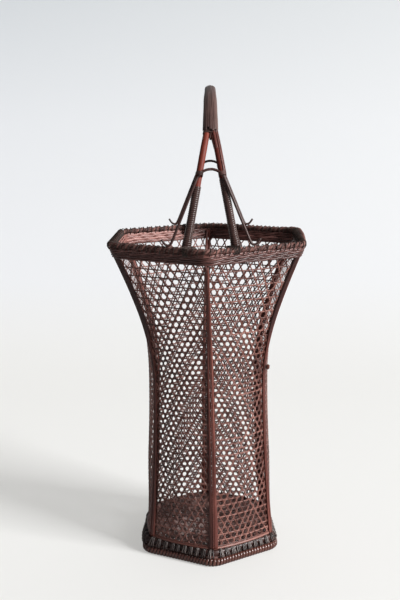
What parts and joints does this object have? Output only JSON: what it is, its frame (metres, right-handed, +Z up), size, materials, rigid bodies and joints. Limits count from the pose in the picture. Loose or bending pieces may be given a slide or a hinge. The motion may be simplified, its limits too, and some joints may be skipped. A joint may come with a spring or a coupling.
{
  "type": "handled flower basket",
  "caption": "Tall six-sided flower basket of open hexagonal bamboo weave with a trumpet mouth, lashed foot ring and a high bent-rod handle over the mouth",
  "frame": {"origin": "middle of the foot's resting face, on the surface that the basket stands on", "axes": "+Z up through the handle, front corner and front handle legs towards -Y, +X to the right of someone facing the front corner"},
  "size_m": [0.206, 0.2318, 0.5041],
  "materials": {
    "bamboo_red": "smooth red-brown stained bamboo, satin",
    "bamboo_dark": "dark red-brown stained bamboo, satin",
    "strand_brown": "split bamboo strands, stained brown",
    "rattan_brown": "fine rattan wrap, matt brown",
    "rattan_black": "black rattan lashing"
  },
  "bodies": {
    "root": {"foot_hoop": "bamboo_dark", "foot_lashed_ring": "rattan_black", "floor_panel": "strand_brown", "wall_front_right": "strand_brown", "wall_right": "strand_brown", "wall_back_right": "strand_brown", "wall_back_left": "strand_brown", "wall_left": "strand_brown", "wall_front_left": "strand_brown", "post_front": "bamboo_red", "post_right_front": "bamboo_red", "post_right_back": "bamboo_red", "post_back": "bamboo_red", "post_left_back": "bamboo_red", "post_left_front": "bamboo_red", "liner_front": "bamboo_red", "liner_right_front": "bamboo_red", "liner_right_back": "bamboo_red", "liner_back": "bamboo_red", "liner_left_back": "bamboo_red", "liner_left_front": "bamboo_red", "rim_outer_band": "strand_brown", "rim_inner_band": "strand_brown", "rim_braid": "bamboo_dark", "handle_rod_left": "bamboo_red", "handle_rod_right": "bamboo_red", "grip_wrap": "rattan_brown", "leg_wrap_front_left": "rattan_brown", "leg_wrap_front_right": "rattan_brown", "leg_wrap_back_left": "rattan_brown", "leg_wrap_back_right": "rattan_brown", "rim_lashing_front_left": "rattan_brown", "rim_lashing_front_right": "rattan_brown", "rim_lashing_back_left": "rattan_brown", "rim_lashing_back_right": "rattan_brown", "hoop_front": "bamboo_dark", "hoop_back": "bamboo_dark", "hoop_tie_front_left": "rattan_brown", "hoop_tie_front_right": "rattan_brown", "hoop_tie_back_left": "rattan_brown", "hoop_tie_back_right": "rattan_brown", "post_peg": "rattan_black"}
  },
  "joints": []
}
